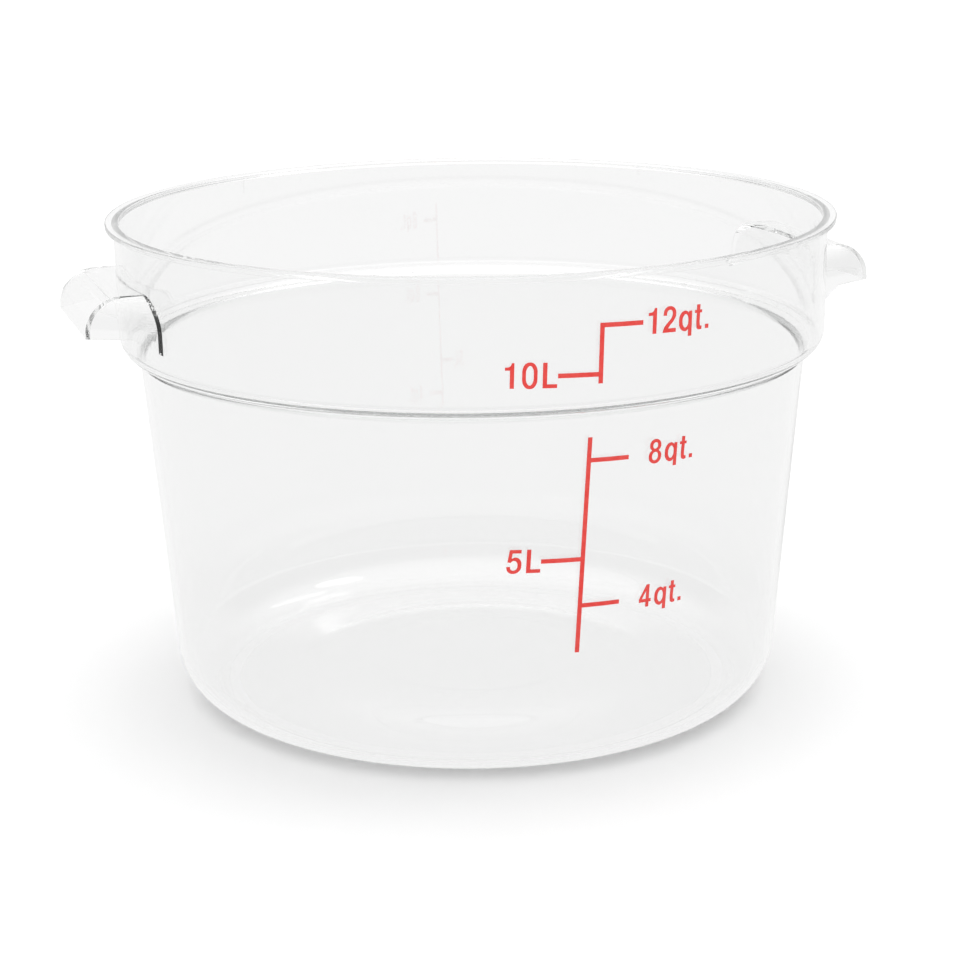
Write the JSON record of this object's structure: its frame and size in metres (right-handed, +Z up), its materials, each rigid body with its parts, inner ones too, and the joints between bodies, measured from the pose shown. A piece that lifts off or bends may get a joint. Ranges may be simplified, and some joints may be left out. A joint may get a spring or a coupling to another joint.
{
  "type": "round storage container",
  "caption": "Clear round straight-walled food storage container with a stacking step, upper band, rolled rim, hooded side handles and a printed volume scale.",
  "frame": {"origin": "centre of the base, on the plane that the container stands on", "axes": "+Z up along the container's axis, the handles lie on +X and -X, and the printed volume scale faces -Y"},
  "size_m": [0.3498, 0.315, 0.2125],
  "materials": {
    "clear_polycarbonate": "clear gloss moulded polycarbonate",
    "red_ink": "screen printed ink, satin"
  },
  "bodies": {
    "root": {"container_body": "clear_polycarbonate", "band_scale_ink": "red_ink", "body_scale_ink": "red_ink"}
  },
  "joints": []
}
